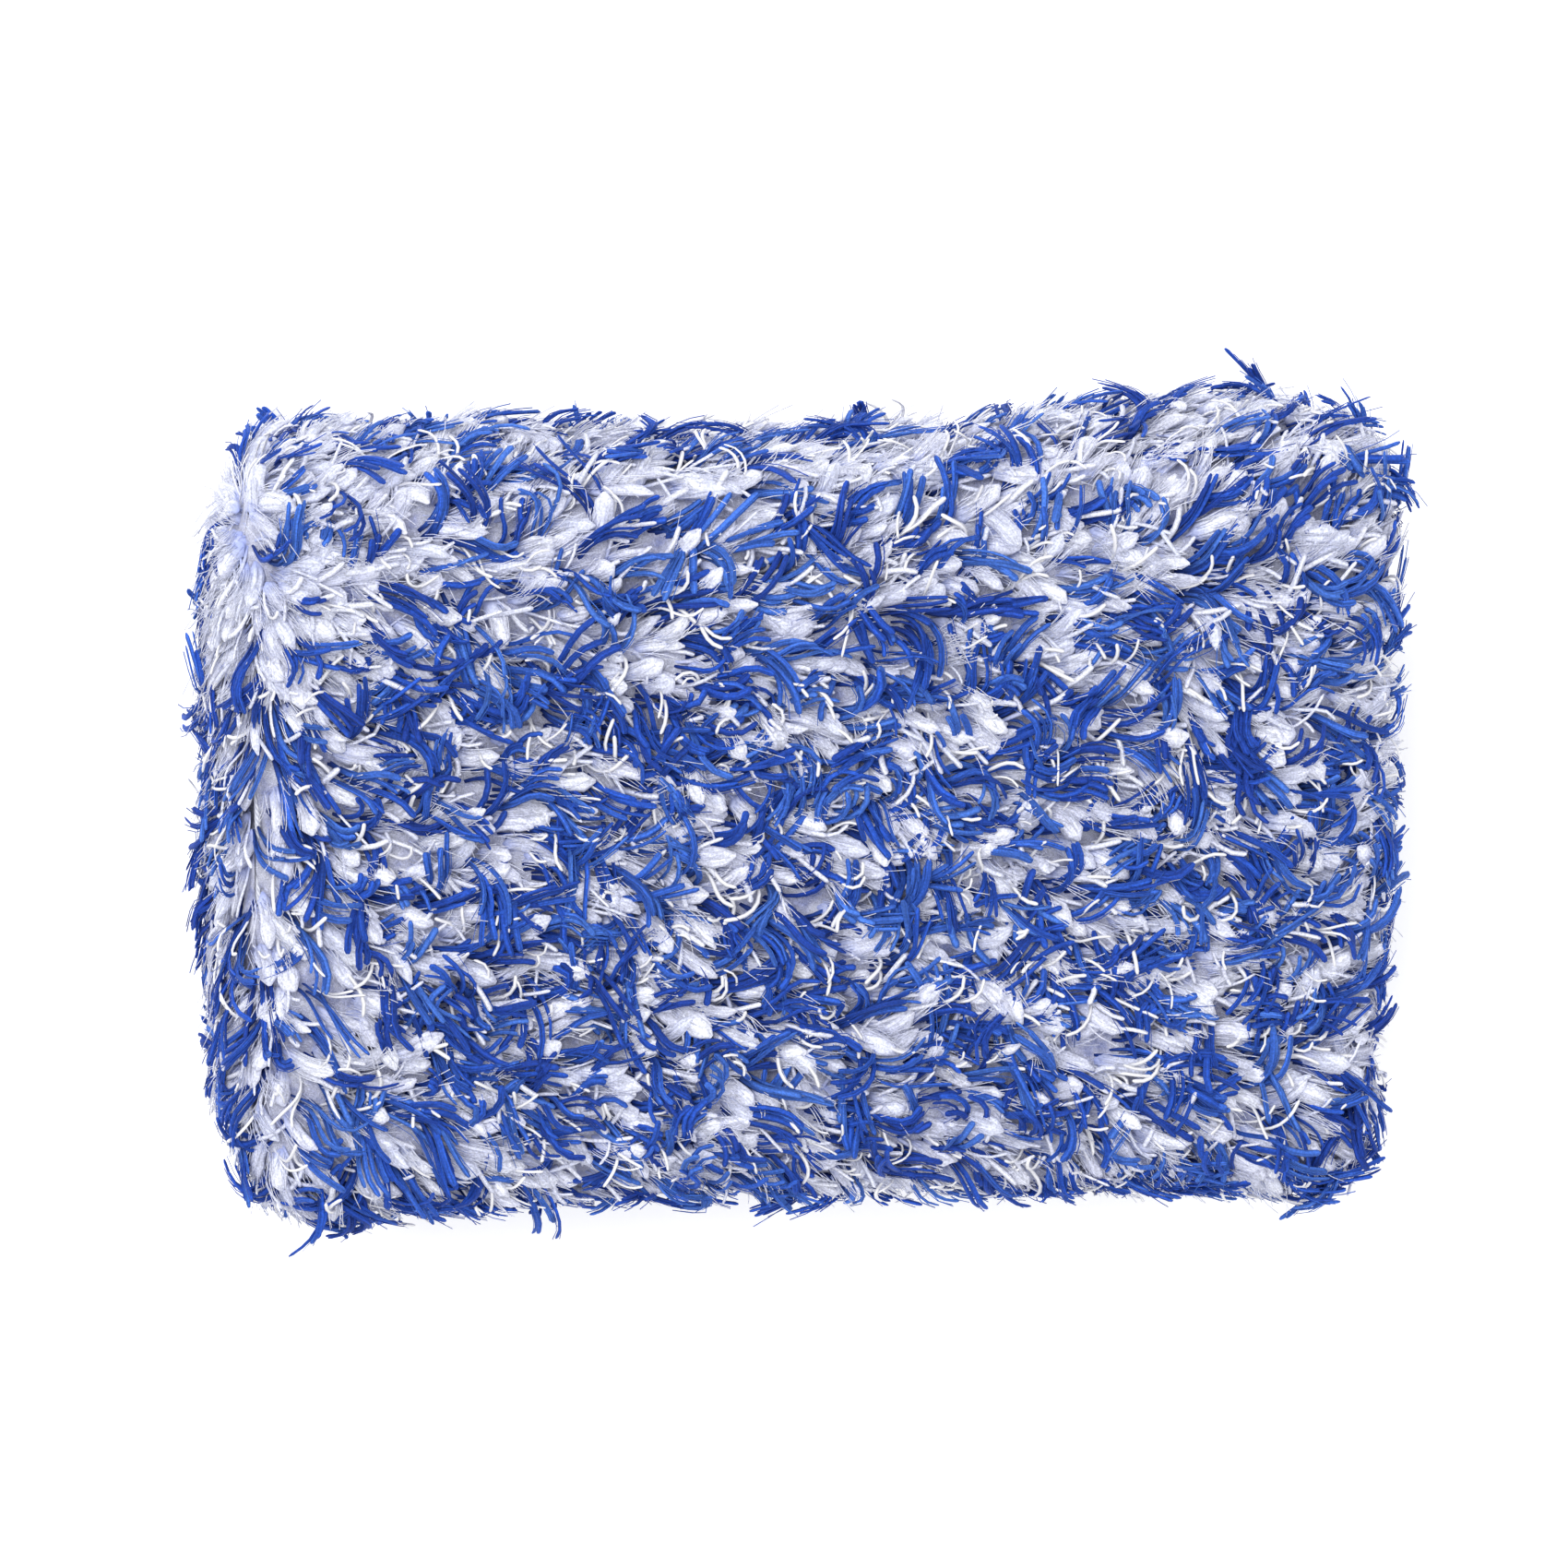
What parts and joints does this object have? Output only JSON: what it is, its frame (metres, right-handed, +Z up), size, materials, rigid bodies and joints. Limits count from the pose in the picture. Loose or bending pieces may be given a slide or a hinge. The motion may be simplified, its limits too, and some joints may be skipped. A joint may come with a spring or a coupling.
{
  "type": "car wash mitt",
  "caption": "Rectangular long-pile microfibre wash mitt in blue and white, with a sponge core, a lined hand pocket, a hidden knitted cuff and a hanging loop.",
  "frame": {"origin": "middle of the rectangle the mitt rests on, at the level of its resting face", "axes": "+Z up from the resting face to the palm face; +X along the length, from the closed finger end to the mouth; +Y to the far long side"},
  "size_m": [0.25, 0.17, 0.06],
  "materials": {
    "plush": "long cut pile of blue and white microfibre yarns, matt",
    "plush_blue": "royal blue microfibre yarn tufts, matt with a soft sheen",
    "plush_white": "white microfibre fluff and yarn, matt",
    "sponge": "open-cell polyurethane foam, matt",
    "wadding": "polyester wadding, matt",
    "lining": "plain woven polyester, matt",
    "cuff_knit": "ribbed knit, matt",
    "elastic": "braided elastic, matt",
    "binding": "woven polyester tape, matt",
    "thread": "polyester thread",
    "webbing": "woven polyester webbing, matt",
    "label": "blank satin tape"
  },
  "bodies": {
    "mitt": {"palm_plush_panel": "plush", "back_plush_panel": "plush", "finger_end_gusset": "plush", "far_side_gusset": "plush", "near_side_gusset": "plush", "mouth_facing_palm": "plush", "mouth_facing_back": "plush", "mouth_facing_far": "plush", "mouth_facing_near": "plush", "palm_sponge": "sponge", "back_sponge": "sponge", "finger_end_wadding": "wadding", "far_side_wadding": "wadding", "near_side_wadding": "wadding", "lining_palm_panel": "lining", "lining_back_panel": "lining", "knit_cuff": "cuff_knit", "cuff_elastic": "elastic", "mouth_binding": "binding", "palm_edge_seam": "thread", "back_edge_seam": "thread", "lining_seam": "thread", "gusset_seam_finger_far": "thread", "gusset_seam_finger_near": "thread", "gusset_seam_mouth_far": "thread", "gusset_seam_mouth_near": "thread", "mouth_bar_tack_far": "thread", "mouth_bar_tack_near": "thread", "care_label_tack": "thread", "hang_loop_tab": "webbing"},
    "hang_loop": {"hang_loop": "webbing"},
    "care_label": {"care_label": "label"}
  },
  "joints": [
    {"name": "hang_loop_swing", "type": "hinge", "parent": "mitt", "child": "hang_loop", "pos_m": [0.1185, -0.054, 0.009], "axis": [0, 0, -1], "range_deg": [0, 110]},
    {"name": "care_label_swing", "type": "hinge", "parent": "mitt", "child": "care_label", "pos_m": [0.1179, 0.056, 0.009], "axis": [0, 0, 1], "range_deg": [0, 110]}
  ]
}
